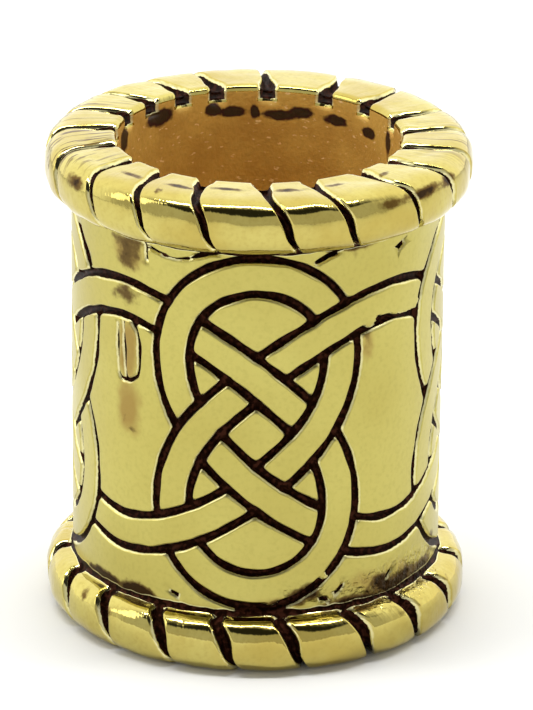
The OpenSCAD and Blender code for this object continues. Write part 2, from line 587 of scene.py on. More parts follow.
# Stretches of rope with worn lines along the strands
WEAR = (
    Stain(-82.0, 14.0, 16.0, 0.5, 1.9, 5.1, 0.7),
    Stain(-112.0, 14.0, 10.0, 0.5, 1.2, 5.1, 0.7),
    Stain(88.0, 14.0, 14.0, 0.5, 0.9, 5.3, 0.6),
    Stain(150.0, 1.0, 20.0, 0.8, 0.9, 5.8, 0.6),
)
# Patches with casting pits
ROUGH_CAST = (
    Stain(50.0, 2.0, 16.0, 0.35),
    Stain(16.0, 2.2, 6.0, 0.2, 0.7),
    Stain(-118.0, 2.0, 16.0, 0.35),
    Stain(150.0, 2.1, 16.0, 0.35),
)
# Places where the wall's grooves are shallow and hold less wash
WORN_GROOVES = (
    Stain(24.5, 2.95, 4.0, 0.3, 0.2),
    Stain(21.6, 2.66, 1.0, 0.08, 1.6),
    Stain(4.9, 2.1, 1.5, 0.14, 1.9),
    Stain(36.5, 10.2, 1.6, 0.2, 1.9),
    Stain(52.0, 10.18, 4.5, 0.12, 1.9),
    Stain(-140.0, 4.5, 6.0, 0.5, 0.8),
)


def patches(stains: tuple[Stain, ...], places: np.ndarray) -> np.ndarray:
    """Strongest of several patches at each row of azimuth, radius and height."""
    return np.max([stain.at(places) for stain in stains], axis=0)


@dataclass
class SpacedPoints:
    """Points of the unrolled wall that keep a distance from each other, and their joins."""

    closest: float
    sum_of_steps: float = 1.2
    longest_join: float = 0.3
    kept: list[np.ndarray] = field(default_factory=list)
    joins: list[tuple[int, int]] = field(default_factory=list)
    cells: dict[tuple[int, int], list[np.ndarray]] = field(default_factory=dict)

    def add_run(self, places: list[np.ndarray], wanted: np.ndarray) -> None:
        """Adds the points of a line that have room, and joins those that follow each other.

        Args:
            places: The line's points.
            wanted: True for each point that is wanted.
        """
        last = None
        for place, want in zip(places, wanted):
            cell = (int(place[0] // self.closest), int(place[1] // self.closest))
            if not want or self.crowded(place, cell):
                last = None
                continue
            self.cells.setdefault(cell, []).append(place)
            self.kept.append(place)
            here = len(self.kept) - 1
            if last is not None and np.linalg.norm(self.kept[last] - place) < self.longest_join:
                self.joins.append((last, here))
            last = here

    def crowded(self, place: np.ndarray, cell: tuple[int, int]) -> bool:
        """Whether a kept point is too close.

        Args:
            place: Where a point is wanted.
            cell: The place's cell.

        Returns:
            True where there is no room.
        """
        for i in (-1, 0, 1):
            for j in (-1, 0, 1):
                for other in self.cells.get((cell[0] + i, cell[1] + j), ()):
                    du, dz = place - other
                    if abs(du) + abs(dz) < self.closest * self.sum_of_steps:
                        if math.hypot(du, dz) < self.closest:
                            return True
        return False


@dataclass
class KnotWall:
    """The wall between the rims, with the grooves of the knots cut into it."""

    sizes: BeadSizes
    low: float
    high: float
    knots: int = 4
    cut: GrooveCut = GrooveCut(half_width=0.108, depth=0.22)
    line_step: float = 0.005
    field_step: int = 4
    rail_step: int = 5
    rail_slides: int = 3
    rail_strays: float = 0.07
    rail_error: float = 0.06
    narrowest: float = 1.05
    closest: float = 0.024
    width_change: float = 0.28
    width_size: float = 0.55
    fill: float = 0.22
    fill_rise: float = 0.87
    fill_jitter: float = 0.25
    row_start: float = 0.25
    fill_clear: float = 2.4
    rim_room: float = 0.03
    fill_room: float = 0.25
    seam_step: float = 0.05
    seam_room: float = 0.02
    sliver: float = 1e-5
    foot_rows: tuple[float, ...] = (0.04, 0.09, 0.16)
    foot_step: float = 0.09
    foot_clear: float = 2.0
    swell: float = 0.012
    swell_size: float = 1.6
    swell_from: float = 0.3
    worn_wash: float = 0.35
    worn_limits: Limits = (0.1, 0.5)
    crease_reach: float = 0.4
    crease_changes: Pair = (0.9, 0.4)
    crease_sizes: Pair = (1.1, 0.3)
    thinnest_crease: float = 0.004
    seam: Pair = field(init=False)
    plan: KnotPlan = field(init=False)
    distances: GrooveField = field(init=False)
    lines: list[tuple[np.ndarray, np.ndarray, float]] = field(init=False)

    def __post_init__(self) -> None:
        """Lays out the knots' lines and their field."""
        self.plan = KnotPlan(border=self.sizes.turn / self.knots / 2)
        self.distances = GrooveField(self.sizes.turn, self.low, self.high)
        self.lines = [(points, across, 0.0) for points, across in self.groove_lines()]
        for scratch in SCRATCHES:
            points = scratch.points(self.sizes.wall_radius)
            along = np.gradient(points, axis=0)
            along /= np.linalg.norm(along, axis=1)[:, None]
            inset = self.cut.half_width - scratch.half_width
            self.lines.append((points, np.stack([-along[:, 1], along[:, 0]], 1), inset))
        for points, _, inset in self.lines:
            short = len(points) <= 2 * self.field_step
            self.distances.add_line(points if short else points[:: self.field_step], inset)

    def groove_lines(self) -> list[tuple[np.ndarray, np.ndarray]]:
        """Every unbroken stretch of groove round the wall.

        Returns:
            For each stretch its points and the unit vectors across it.
        """
        lines = []
        for turned in (1, -1):
            for side in (1, -1):
                points, across, shows = self.plan.groove(side, self.line_step)
                pitch = np.array([self.sizes.turn / self.knots, 0])
                rounds = [turned * (points + k * pitch) for k in range(self.knots)]
                lines += self.stretches(
                    np.concatenate(rounds),
                    np.tile(turned * across, (self.knots, 1)),
                    np.tile(shows, self.knots),
                )
        centre = np.array([0, self.sizes.middle])
        return [(points + centre, across) for points, across in lines]

    @staticmethod
    def stretches(
        points: np.ndarray, across: np.ndarray, shows: np.ndarray, shortest: int = 20
    ) -> list[tuple[np.ndarray, np.ndarray]]:
        """Cuts one closed line into the stretches that show.

        Args:
            points: The line's points, once round the wall.
            across: Unit vectors across it.
            shows: True for each point that shows.
            shortest: Number of points that a stretch must pass to count.

        Returns:
            Points and vectors of each stretch, unrolled past the line's end where they cross it.
        """
        start = int(np.argmin(shows))
        span = np.array([abs(points[-1, 0] - points[0, 0]) + abs(points[1, 0] - points[0, 0]), 0])
        direction = 1 if points[-1, 0] > points[0, 0] else -1
        wrapped = np.concatenate([points[start:], points[:start] + direction * span])
        turned = np.roll(across, -start, axis=0)
        edges = np.flatnonzero(np.diff(np.append(np.roll(shows, -start), False).astype(int)))
        return [
            (wrapped[first + 1 : last + 1], turned[first + 1 : last + 1])
            for first, last in zip(edges[::2], edges[1::2])
            if last - first > shortest
        ]

    def around(self, u: float) -> tuple[float, float]:
        """Place in plan of a point of the wall, for patterns that go round without a break."""
        radius = self.sizes.wall_radius
        return radius * math.sin(u / radius), radius * math.cos(u / radius)

    def half_width(self, places: np.ndarray) -> np.ndarray:
        """Half width of the grooves near each place, a little uneven as cut by hand."""
        uneven = [ripple(*self.around(u), z, self.width_size) for u, z in places]
        return self.cut.half_width * (1 + self.width_change * np.array(uneven))

    def reach(self, places: np.ndarray) -> np.ndarray:
        """Distance from the nearest groove line, in half widths."""
        return self.distances.read(places) / self.half_width(places)

    def rails(self) -> SpacedPoints:
        """Points along the grooves' floors, sides and shoulders."""
        found = SpacedPoints(self.closest)
        for level in self.cut.levels:
            for points, across, inset in self.lines:
                if level and level * self.cut.half_width < inset * self.narrowest:
                    continue
                thinned = points[:: self.rail_step]
                for side in (1, -1) if level else (1,):
                    places, good = self.rail(thinned, side * across[:: self.rail_step], level, inset)
                    found.add_run([self.wrap(place) for place in places], good)
        return found

    def rail(
        self, points: np.ndarray, across: np.ndarray, level: float, inset: float
    ) -> tuple[np.ndarray, np.ndarray]:
        """Points of one rail.

        Args:
            points: Centre line of the groove.
            across: Unit vectors towards the rail.
            level: Distance of the rail from the centre line, in half widths.
            inset: How much narrower than a full groove the line is, on each side.

        Returns:
            The points, and True for each that lies where a rail should.
        """
        aside = np.clip(level * self.half_width(points) - inset, 0, None)
        start = points + aside[:, None] * across
        places = start.copy()
        for _ in range(self.rail_slides if level else 0):
            places = places + self.slide(places, level)
        good = np.linalg.norm(places - start, axis=1) < self.rail_strays
        if level:
            good &= np.abs(self.reach(places) - level) < self.rail_error
        good &= (places[:, 1] > self.low + self.rim_room) & (places[:, 1] < self.high - self.rim_room)
        return places, good & self.off_seam(places)

    def slide(self, places: np.ndarray, level: float) -> np.ndarray:
        """Moves that bring places on to a line of equal distance from the grooves.

        Args:
            places: Places on the wall.
            level: The wanted distance in half widths.

        Returns:
            One move for each place.
        """
        small = 0.015
        flattest = 4.0
        value = self.reach(places)
        dx = self.reach(places + [small, 0]) - self.reach(places - [small, 0])
        dy = self.reach(places + [0, small]) - self.reach(places - [0, small])
        slope = np.stack([dx, dy], 1) / (2 * small)
        steep = np.maximum((slope**2).sum(1), flattest)
        return ((level - value) / steep)[:, None] * slope

    def seam_at(self, height: np.ndarray) -> np.ndarray:
        """Place along the wall of the seam, which leans from one rim's foot to the other's."""
        part = (height - self.low) / (self.high - self.low)
        return self.seam[0] + (self.seam[1] - self.seam[0]) * part

    def off_seam(self, places: np.ndarray) -> np.ndarray:
        """Which places keep clear of the seam."""
        from_seam = (places[:, 0] - self.seam_at(places[:, 1])) % self.sizes.turn
        return (from_seam > self.seam_room) & (from_seam < self.sizes.turn - self.seam_room)

    def wrap(self, place: np.ndarray) -> np.ndarray:
        """The same place within one turn from the seam."""
        seam = self.seam_at(place[1])
        return np.array([(place[0] - seam) % self.sizes.turn + seam, place[1]])

    def fillers(self) -> np.ndarray:
        """Scattered points on the plain metal between the grooves, and rows along the rims."""
        columns = round(self.sizes.turn / self.fill)
        rows = round((self.high - self.low) / (self.fill * self.fill_rise))
        wide = self.sizes.turn / columns
        tall = (self.high - self.low) / rows
        jitter = self.fill_jitter
        points = []
        for j in range(1, rows):
            for i in range(columns):
                u = -self.sizes.turn / 2 + (i + j % 2 / 2 + self.row_start) * wide
                aside = wander(i * 1.7, j * 1.3, 0.5)
                rise = wander(i * 1.9, j * 1.1, 7.5)
                height = self.low + j * tall
                points.append((u + jitter * wide * aside, height + jitter * tall * rise))
        places = np.array(points)
        places = places[self.distances.read(places) > self.cut.half_width * self.fill_clear]
        heights = places[:, 1]
        places = places[(heights > self.low + self.fill_room) & (heights < self.high - self.fill_room)]
        foot = np.array([
            (u + self.foot_step * (row % 2) / 2, height)
            for row, up in enumerate(self.foot_rows)
            for height in (self.low + up, self.high - up)
            for u in np.arange(0, self.sizes.turn - self.foot_step, self.foot_step)
        ])
        foot = foot[np.abs(self.reach(foot)) > self.foot_clear]
        found = np.concatenate([places, foot])
        return np.array([self.wrap(place) for place in found[self.off_seam(found)]])

    def build(self, mesh: bmesh.types.BMesh, rim_rows: list[list[tuple[float, float]]]) -> int:
        """Adds the wall to the casting.

        The grooves leave no shape that an operator makes, so the triangles come from Blender's
        own triangulation of the rails, on a strip whose two ends meet at the seam.

        Args:
            mesh: The casting.
            rim_rows: Places along the wall where each rim's last row meets it.

        Returns:
            Number of faces made.
        """
        turn = self.sizes.turn
        self.seam = tuple(
            min(((u + turn / 2) % turn for u, _ in row)) - turn / 2 for row in rim_rows
        )
        rails = self.rails()
        edge_rows = [
            sorted((start + (u - start) % turn, z) for u, z in row) + [(start + turn, z_end)]
            for start, row, z_end in zip(self.seam, rim_rows, (self.low, self.high))
        ]
        steps = int((self.high - self.low) / self.seam_step)
        heights = np.linspace(self.low, self.high, steps + 1)[1:-1]
        near_seam = [(self.seam_at(z), z) for z in heights]
        far_seam = [(self.seam_at(z) + turn, z) for z in heights]
        groups = [rails.kept, self.fillers(), *edge_rows, near_seam, far_seam]
        base = np.concatenate([np.array(group) for group in groups])
        edges = [(a, b) for a, b in rails.joins if abs(base[a][0] - base[b][0]) < turn / 2]
        points = [Vector(place) for place in base]
        corners, _, faces, _, _, _ = delaunay_2d_cdt(points, edges, [], 0, self.sliver)
        flat = np.array([corner[:] for corner in corners])
        verts = self.raise_points(mesh, flat)
        from_seam = (flat[:, 0] - self.seam_at(flat[:, 1])) / turn
        for face in faces:
            middle = from_seam[face].mean()
            if min(middle, 1 - middle) < self.sliver:
                continue
            made = mesh.faces.new([verts[i] for i in face])
            made.material_index = Skin.WALL.value
        return len(faces)

    def raise_points(self, mesh: bmesh.types.BMesh, flat: np.ndarray) -> list:
        """Puts points of the unrolled wall on to the round one, at the grooves' depth.

        Args:
            mesh: The casting.
            flat: Places on the unrolled wall.

        Returns:
            The new vertices.
        """
        groove = mesh.verts.layers.float[Mask.GROOVE.value]
        reach = self.reach(flat)
        radius = self.sizes.wall_radius
        left = 1 - np.clip(patches(WORN_GROOVES, self.surface(flat)) * 2, 0, 1)
        washed = self.worn_wash + (1 - self.worn_wash) * smooth_step(*self.worn_limits, left)
        creases = [self.crease(u, z) for u, z in flat]
        near = np.maximum(self.cut.nearness(reach) * washed, creases)
        made = []
        for (u, z), drop, close, part in zip(flat, self.cut.drop(reach), near, left):
            angle = u / radius
            from_rim = max(min(z - self.low, self.high - z), 0)
            swell = self.swell * ripple(*self.around(u), z, self.swell_size, seed=3.0)
            drop *= min(from_rim / self.foot_rows[1], 1)
            r = radius - self.cut.depth * drop * part + swell * min(from_rim / self.swell_from, 1)
            vert = mesh.verts.new((r * math.sin(angle), -r * math.cos(angle), z))
            vert[groove] = float(close)
            made.append(vert)
        return made

    def surface(self, flat: np.ndarray) -> np.ndarray:
        """Rows of azimuth, radius and height for places on the unrolled wall."""
        radius = self.sizes.wall_radius
        turns = np.degrees(flat[:, 0] / radius)
        return np.stack([turns, np.full(len(flat), radius), flat[:, 1]], 1)

    def crease(self, u: float, z: float) -> float:
        """Nearness to the dark, uneven crease at the foot of the nearer rim.

        Args:
            u: Place along the wall.
            z: Height.

        Returns:
            1 at the foot, a half at the crease's edge and 0 away from it.
        """
        away = max(min(z - self.low, self.high - z), 0)
        if away > self.crease_reach:
            return 0.0
        nearer = RimEnd.LOWER if z < self.sizes.middle else RimEnd.UPPER
        spot = (*self.around(u), nearer is RimEnd.UPPER)
        broad, fine = (ripple(*spot, size, seed) for seed, size in enumerate(self.crease_sizes, 4))
        broad_change, fine_change = self.crease_changes
        wide = CREASES[nearer] * (1 + broad_change * broad + fine_change * fine)
        return max(0.0, 1 - away / wide / 2) if wide > self.thinnest_crease else 0.0


class SectionPoint(NamedTuple):
    """Point of a rim's section: place, part of the grooves' depth, and the strands' turn there."""

    radius: float
    from_end: float
    depth: float
    lay: float = 0.0


@dataclass
class RopeRim:
    """A rim like a short thick rope laid round the end of the tube."""

    sizes: BeadSizes
    end: RimEnd
    starts: tuple[float, ...]
    cut: GrooveCut = GrooveCut(half_width=0.115, depth=0.3)
    lay_end: float = 1.5
    lay_side: float = 8.5
    lay_wobble: float = 0.5
    bore_rows: tuple[Pair, ...] = (
        (1.3, 0.0), (1.15, 0.0), (1.0, 0.0), (0.87, 0.0), (0.74, 0.0), (0.6, 0.0), (0.48, 0.1),
        (0.4, 0.6), (0.27, 0.75),
    )
    ledge_rows: int = 3
    ledge_from: float = 0.42
    mouth_round: float = 0.18
    mouth_steps: int = 4
    mouth_depth: float = 0.7
    flat_steps: int = 11
    flat_depth: float = 0.9
    side_steps: int = 16
    side_power: float = 0.78
    foot_angle: float = 158.0
    foot_height: float = 1.66
    foot_steps: int = 5
    foot_depth: float = 0.7
    last_side_depth: float = 0.85
    hollow: Pair = (0.03, 0.1)
    notch_columns: int = 3
    body_columns: int = 9
    crown: float = 0.035
    waviness: float = 0.03
    wave_size: float = 0.6
    wave_flatness: float = 1.5
    waves_end: float = 0.15
    wall_from: float = 1.0
    start_jitter: float = 1.4
    width_change: float = 0.25
    mouth_widens: Limits = (4.3, 5.0)
    foot_widens: Limits = (0.3, 1.3)
    crease_change: float = 0.8
    crease_size: float = 0.9
    thinnest_crease: float = 0.01
    merge: float = 1e-5

    @classmethod
    def with_measured(
        cls, sizes: BeadSizes, end: RimEnd, measured: tuple[float, ...], count: int = 19
    ) -> "RopeRim":
        """A rim whose unmeasured grooves are spread over the rest of the turn.

        Args:
            sizes: Sizes of the bead.
            end: Which end of the bead it is on.
            measured: Azimuths at the mouth of neighbouring grooves, rising.
            count: Number of grooves in all.

        Returns:
            The rim.
        """
        rest = count - len(measured)
        gap = (measured[0] + 360 - measured[-1]) / (rest + 1)
        spread = [
            measured[-1] + gap * (k + 1) + cls.start_jitter * wander(k * 2.3, end.value, 0.4)
            for k in range(rest)
        ]
        return cls(sizes=sizes, end=end, starts=tuple(measured) + tuple(spread))

    @property
    def side_centre(self) -> float:
        """Radius of the circle round which the rope's section turns."""
        return self.sizes.rim_radius - self.sizes.rim_height / 2

    def outline(self) -> list[SectionPoint]:
        """Section of the rim from inside the mouth, over the end and side, to the wall."""
        bore = self.sizes.bore_radius
        points = [SectionPoint(bore, from_end, depth) for from_end, depth in self.bore_rows]
        for step in range(self.mouth_steps + 1):
            part = step / self.mouth_steps
            turn = math.radians(90 * part)
            radius = bore + self.mouth_round * (1 - math.cos(turn))
            from_end = self.mouth_round * (1 - math.sin(turn))
            depth = self.mouth_depth + (self.flat_depth - self.mouth_depth) * part
            points.append(SectionPoint(radius, from_end, depth))
        flat_from = bore + self.mouth_round
        for step in range(1, self.flat_steps + 1):
            part = step / self.flat_steps
            radius = flat_from + (self.side_centre - flat_from) * part
            depth = self.flat_depth + (1 - self.flat_depth) * part
            points.append(SectionPoint(radius, 0.0, depth, self.lay_end * part))
        half = self.sizes.rim_height / 2
        for step in range(1, self.side_steps + 1):
            turn = math.radians(self.foot_angle * step / self.side_steps)
            out = math.copysign(abs(math.sin(turn)) ** self.side_power, math.sin(turn))
            up = math.copysign(abs(math.cos(turn)) ** self.side_power, math.cos(turn))
            depth = 1.0 if step < self.side_steps - 2 else self.last_side_depth
            lay = self.lay_end + self.lay_side * step / self.side_steps
            points.append(SectionPoint(self.side_centre + half * out, half - half * up, depth, lay))
        last = points[-1]
        wall = self.sizes.wall_radius
        for step in range(1, self.foot_steps + 1):
            t = step / self.foot_steps
            shares = ((1 - t) ** 2, 2 * t * (1 - t), t * t)
            radii = (last.radius, wall + self.hollow[0], wall)
            heights = (last.from_end, self.foot_height - self.hollow[1], self.foot_height)
            radius = sum(share * value for share, value in zip(shares, radii))
            from_end = sum(share * value for share, value in zip(shares, heights))
            points.append(SectionPoint(radius, from_end, self.foot_depth * (1 - t), last.lay))
        return points

    @staticmethod
    def normals(section: list[SectionPoint]) -> list[Vector]:
        """Outward direction of the section at each of its points.

        Args:
            section: The section's points.

        Returns:
            One unit vector for each.
        """
        points = [Vector((point.radius, point.from_end)) for point in section]
        found = []
        for i, _ in enumerate(points):
            along = points[min(i + 1, len(points) - 1)] - points[max(i - 1, 0)]
            found.append(Vector((along.y, -along.x)).normalized())
        return found

    def columns(self) -> list[tuple[float, float]]:
        """Places of a strand's columns: distance from a groove in half widths, and body part.

        Returns:
            Pairs of signed groove distance (0 on the body) and part of the body's width.
        """
        near = sorted(self.cut.levels)
        places = [(level, 0.0) for level in near]
        places += [(0.0, (i + 1) / (self.body_columns + 1)) for i in range(self.body_columns)]
        places += [(-level, 1.0) for level in reversed(near[1:])]
        return places

    def build(self, mesh: bmesh.types.BMesh) -> list[tuple[float, float]]:
        """Adds the rim to the casting: a grid, laid over the section and round the end.

        Args:
            mesh: The casting.

        Returns:
            Places along the wall, in millimetres, at which the rim's last row meets it.
        """
        section = self.outline()
        outward = self.normals(section)
        places = self.columns()
        across = len(places) * len(self.starts)
        levels = len(section) - 1
        before = set(mesh.verts)
        made = bmesh.ops.create_grid(mesh, x_segments=across, y_segments=levels, size=1)
        grid = [v for v in made["verts"] if v not in before]
        low_x, high_x = min(v.co.x for v in grid), max(v.co.x for v in grid)
        low_y, high_y = min(v.co.y for v in grid), max(v.co.y for v in grid)
        mouth = len(self.bore_rows)
        for face in {f for v in grid for f in v.link_faces}:
            middle = face.calc_center_median()
            column = int((middle.x - low_x) / (high_x - low_x) * across) % len(places)
            level = int((middle.y - low_y) / (high_y - low_y) * levels)
            in_notch = min(column, len(places) - 1 - column) < self.notch_columns
            in_bore = level < mouth and not (in_notch and level == mouth - self.ledge_rows)
            face.material_index = Skin.BORE.value if in_bore else Skin.ROPE.value
        feet = {}
        for vert in grid:
            i = round((vert.co.x - low_x) / (high_x - low_x) * across) % across
            j = round((vert.co.y - low_y) / (high_y - low_y) * levels)
            angle = self.shape(mesh, vert, divmod(i, len(places)), section[j], outward[j], j)
            if j == levels:
                feet[i] = angle
        bmesh.ops.remove_doubles(mesh, verts=grid, dist=self.merge)
        height = self.place_height(self.foot_height)
        return [(feet[i] * self.sizes.wall_radius, height) for i in range(across)]

    def place_height(self, from_end: float) -> float:
        """Height in the bead of a distance from the rim's end face."""
        return from_end if self.end is RimEnd.LOWER else self.sizes.height - from_end

    def shape(
        self,
        mesh: bmesh.types.BMesh,
        vert: bmesh.types.BMVert,
        column: tuple[int, int],
        point: SectionPoint,
        outward: Vector,
        level: int,
    ) -> float:
        """Puts one vertex of the grid in its place on the rim, and marks it.

        Args:
            mesh: The casting.
            vert: The vertex.
            column: Its strand, and its column on the strand.
            point: Its point of the section.
            outward: The section's outward direction there.
            level: Number of the point.

        Returns:
            The vertex's angle round from the front, in radians.
        """
        angle, reach, side = self.across_strand(column, point, level)
        drop = self.cut.depth * point.depth * float(self.cut.drop(reach))
        on_side = point.lay > 0 and point.from_end < self.foot_height - self.waves_end
        drop += self.crown * abs(side) ** 3 * point.depth
        x, y = point.radius * math.sin(angle), point.radius * math.cos(angle)
        wave = ripple(x, y, point.from_end * self.wave_flatness, self.wave_size, seed=9.0)
        drop -= self.waviness * on_side * wave
        drop = max(drop, 0.0) if point.from_end == 0 or not on_side else drop
        r = point.radius - outward.x * drop
        if point.from_end > self.wall_from and point.radius > self.side_centre:
            r = max(r, self.sizes.wall_radius)
        up = self.place_height(point.from_end - outward.y * drop)
        vert.co = (r * math.sin(angle), -r * math.cos(angle), up)
        on_ledge = point.radius <= self.sizes.bore_radius and point.from_end > self.ledge_from
        close = 0.0 if on_ledge else float(self.cut.nearness(reach)) * min(1.0, point.depth * 2)
        away = (point.radius - self.sizes.wall_radius, point.from_end - self.foot_height)
        uneven = 1 + self.crease_change * ripple(x, y, 0, self.crease_size, seed=6.0)
        wide = max(uneven * CREASES[self.end], self.thinnest_crease)
        close = max(close, 1 - math.hypot(*away) / wide / 2)
        vert[mesh.verts.layers.float[Mask.GROOVE.value]] = close
        vert[mesh.verts.layers.float[Mask.ACROSS.value]] = side
        return angle

    def across_strand(
        self, column: tuple[int, int], point: SectionPoint, level: int
    ) -> tuple[float, float, float]:
        """Where a column lies at a point of the section.

        Args:
            column: Strand, and column on the strand.
            point: Point of the section.
            level: Number of the point.

        Returns:
            The angle round from the front in radians, the distance from the groove in half
            widths, and the place across the strand from -1 to 1.
        """
        strand, place = column
        near, part = self.columns()[place]
        here = self.groove_angle(strand, point.lay, level)
        following = self.groove_angle(strand + 1, point.lay, level)
        wide = self.cut.half_width * self.widening(point.radius, point.from_end)
        uneven = ripple(strand % len(self.starts) * 3.1, level * 0.11, 0, 1.0, seed=2.0)
        wide *= 1 + self.width_change * uneven
        edge = max(self.cut.levels) * wide / point.radius
        on_body = near == 0 and place > 0
        if on_body:
            angle = here + edge + (following - here - 2 * edge) * part
        else:
            angle = (following if near < 0 else here) + near * wide / point.radius
        side = (angle - here) / (following - here) * 2 - 1
        return angle, 2.0 if on_body else abs(near), side

    def widening(self, radius: float, from_end: float) -> float:
        """Width of the grooves at a place of the section.

        Args:
            radius: The place's radius.
            from_end: Its distance from the end face.

        Returns:
            The width, as a part of the cut's own.
        """
        at_mouth = 1 - float(smooth_step(*self.mouth_widens, radius))
        to_foot = float(smooth_step(*self.foot_widens, from_end)) * (radius > self.side_centre)
        usual, more_at_mouth, more_to_foot = GROOVE_WIDTHS[self.end]
        return usual + more_at_mouth * at_mouth + more_to_foot * to_foot

    def groove_angle(self, strand: int, lay: float, level: int) -> float:
        """Azimuth of a groove.

        Args:
            strand: Number of the strand that starts at the groove.
            lay: How far the strands have turned there, in degrees.
            level: Number of the section's point.

        Returns:
            The azimuth in radians.
        """
        turns, index = divmod(strand, len(self.starts))
        wobble = self.lay_wobble * wander(index * 4.7, level * 0.13, 1.5 + self.end.value)
        toward_foot = 1 if self.end is RimEnd.UPPER else -1
        return math.radians(self.starts[index] + 360 * turns + toward_foot * lay + wobble)


@dataclass(frozen=True)
class NodeBench:
    """Adds nodes to one node tree and joins them up."""

    tree: bpy.types.NodeTree

    def feed(self, target: Socket, source: Source) -> None:
        """Links a socket to an input, or sets the input to a number or colour.

        Args:
            target: The input.
            source: What goes into it.
        """
        if isinstance(source, bpy.types.NodeSocket):
            self.tree.links.new(source, target)
        else:
            target.default_value = (*source, 1) if target.type == "RGBA" else source

    def node(self, kind: str, result: int | str, inputs: dict, **settings: object) -> Socket:
        """Adds a node.

        Args:
            kind: Type of the node.
            result: Number or name of the output that is wanted.
            inputs: What goes into each input, by its number or name.
            settings: The node's own options.

        Returns:
            The wanted output.
        """
        made = self.tree.nodes.new(kind)
        for option, choice in settings.items():
            setattr(made, option, choice)
        for name, source in inputs.items():
            self.feed(made.inputs[name], source)
        return made.outputs[result]

    def maths(self, operation: str, *values: Source) -> Socket:
        """Result of arithmetic on one, two or three values."""
        return self.node("ShaderNodeMath", 0, dict(enumerate(values)), operation=operation)

    def vector_maths(self, operation: str, a: Source, b: Source) -> Socket:
        """Result of arithmetic on two vectors."""
        return self.node("ShaderNodeVectorMath", 0, {0: a, 1: b}, operation=operation)

    def attribute(self, mask: Mask) -> Socket:
        """Value of one of the casting's attributes."""
        return self.node("ShaderNodeAttribute", "Fac", {}, attribute_name=mask.value)

    def noise(self, place: Socket, size: float, detail: float) -> Socket:
        """Cloudy pattern with features of the given size in metres."""
        inputs = {"Vector": place, "Scale": 1 / size, "Detail": detail}
        return self.node("ShaderNodeTexNoise", "Fac", inputs)

    def ramp(self, value: Socket, low: float, high: float) -> Socket:
        """Smooth step of a value between two limits."""
        inputs = {"Value": value, "From Min": low, "From Max": high}
        return self.node("ShaderNodeMapRange", "Result", inputs, interpolation_type="SMOOTHSTEP")

    def mix(self, part: Socket, a: Source, b: Source) -> Socket:
        """Colour between two colours, by a part from 0 to 1."""
        return self.node("ShaderNodeMix", 2, {0: part, 6: a, 7: b}, data_type="RGBA")

    def value_mix(self, part: Socket, a: Source, b: Source) -> Socket:
        """Number between two numbers, by a part from 0 to 1."""
        return self.node("ShaderNodeMix", 0, {0: part, 2: a, 3: b}, data_type="FLOAT")

    def ragged(self, mask: Mask, pattern: Socket, part: float) -> Socket:
        """Attribute whose outline is made ragged by a pattern.

        Args:
            mask: Attribute that is a half at the edge of what it marks.
            pattern: Pattern around a half.
            part: How strongly the pattern moves the edge.

        Returns:
            The uneven value.
        """
        moved = self.maths("MULTIPLY_ADD", pattern, part, -part / 2)
        return self.maths("ADD", moved, self.attribute(mask))

    def bump(self, height: Socket, strength: float, distance: float, below: Source) -> Socket:
        """Raises the surface by a pattern.

        Args:
            height: The pattern.
            strength: Part of the bumps that shows.
            distance: Height of the bumps in metres.
            below: Normal with the bumps that the surface already has, or None.

        Returns:
            The new normal.
        """
        inputs = {"Strength": strength, "Distance": distance, "Height": height}
        if below is not None:
            inputs["Normal"] = below
        return self.node("ShaderNodeBump", "Normal", inputs)


